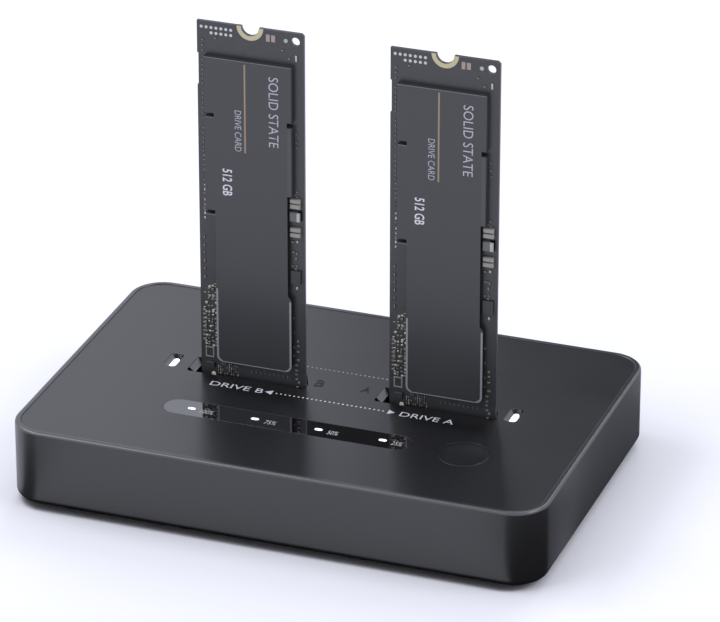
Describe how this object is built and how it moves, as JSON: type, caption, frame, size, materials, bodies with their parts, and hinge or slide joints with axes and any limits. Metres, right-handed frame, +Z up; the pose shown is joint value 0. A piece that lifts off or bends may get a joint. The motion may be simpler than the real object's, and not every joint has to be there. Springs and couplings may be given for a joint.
{
  "type": "drive card duplicator dock",
  "caption": "Low flat desktop dock with upright slots that hold plug-in drive cards, a lit progress strip, status windows and a round key that starts the copy.",
  "frame": {"origin": "middle of the housing's footprint, on the surface that the rubber feet stand on", "axes": "+X to the right along the front as the user sees it, +Y to the back where the sockets for cables are, +Z up along the cards"},
  "size_m": [0.1094, 0.0738, 0.0926],
  "materials": {
    "housing_plastic": "fine satin",
    "panel_plastic": "fine satin",
    "base_plastic": "matte",
    "foot_rubber": "matte",
    "screw_steel": "blackened",
    "board_laminate": "solder mask",
    "chip_epoxy": "matte",
    "can_aluminium": "satin",
    "crystal_steel": "plated",
    "coil_ferrite": "matte",
    "light_package": "satin",
    "window_smoked": "polished",
    "guide_clear": "lit white",
    "key_plastic": "fine satin",
    "button_plastic": "satin",
    "switch_plastic": "matte",
    "plunger_plastic": "satin",
    "port_steel": "plated",
    "tongue_plastic": "matte",
    "jack_plastic": "matte",
    "pin_brass": "nickel plated",
    "socket_plastic": "matte",
    "contact_gold": "gold plated",
    "card_laminate": "solder mask",
    "card_label_film": "satin film",
    "card_epoxy": "matte",
    "card_ceramic": "satin",
    "ring_gold": "gold plated"
  },
  "bodies": {
    "dock": {"housing_frame": "housing_plastic", "top_panel": "panel_plastic", "base_plate": "base_plastic", "rubber_feet": "foot_rubber", "case_screws": "screw_steel", "board_screws": "screw_steel", "main_board": "board_laminate", "board_lights": "light_package", "bridge_chips": "chip_epoxy", "crystal_can": "crystal_steel", "filter_capacitors": "can_aluminium", "power_inductors": "coil_ferrite", "progress_window": "window_smoked", "progress_light_guide": "guide_clear", "status_light_guides": "guide_clear", "key_switch_body": "switch_plastic", "power_switch_body": "switch_plastic", "data_port_shell": "port_steel", "data_port_tongue": "tongue_plastic", "power_jack_body": "jack_plastic", "power_jack_pin": "pin_brass", "socket_a_housing": "socket_plastic", "socket_a_contacts": "contact_gold", "socket_b_housing": "socket_plastic", "socket_b_contacts": "contact_gold"},
    "clone_key": {"clone_key": "key_plastic", "key_switch_plunger": "plunger_plastic"},
    "power_button": {"power_button": "button_plastic", "power_switch_rod": "switch_plastic"},
    "card_a": {"card_a_board": "card_laminate", "card_a_label": "card_label_film", "card_a_packages": "card_epoxy", "card_a_small_parts": "card_ceramic", "card_a_mount_ring": "ring_gold"},
    "card_b": {"card_b_board": "card_laminate", "card_b_label": "card_label_film", "card_b_packages": "card_epoxy", "card_b_small_parts": "card_ceramic", "card_b_mount_ring": "ring_gold"}
  },
  "joints": [
    {"name": "card_a_lift", "type": "slide", "parent": "dock", "child": "card_a", "axis": [0, 0, 1], "range_m": [0, 0.03]},
    {"name": "card_b_lift", "type": "slide", "parent": "dock", "child": "card_b", "axis": [0, 0, 1], "range_m": [0, 0.03]},
    {"name": "clone_key_press", "type": "slide", "parent": "dock", "child": "clone_key", "axis": [0, 0, -1], "range_m": [0, 0.0005], "stiffness_N_per_m": 1200, "springref_m": -0.0002},
    {"name": "power_button_press", "type": "slide", "parent": "dock", "child": "power_button", "axis": [0, -1, 0], "range_m": [0, 0.0012], "stiffness_N_per_m": 600, "springref_m": -0.0005}
  ]
}
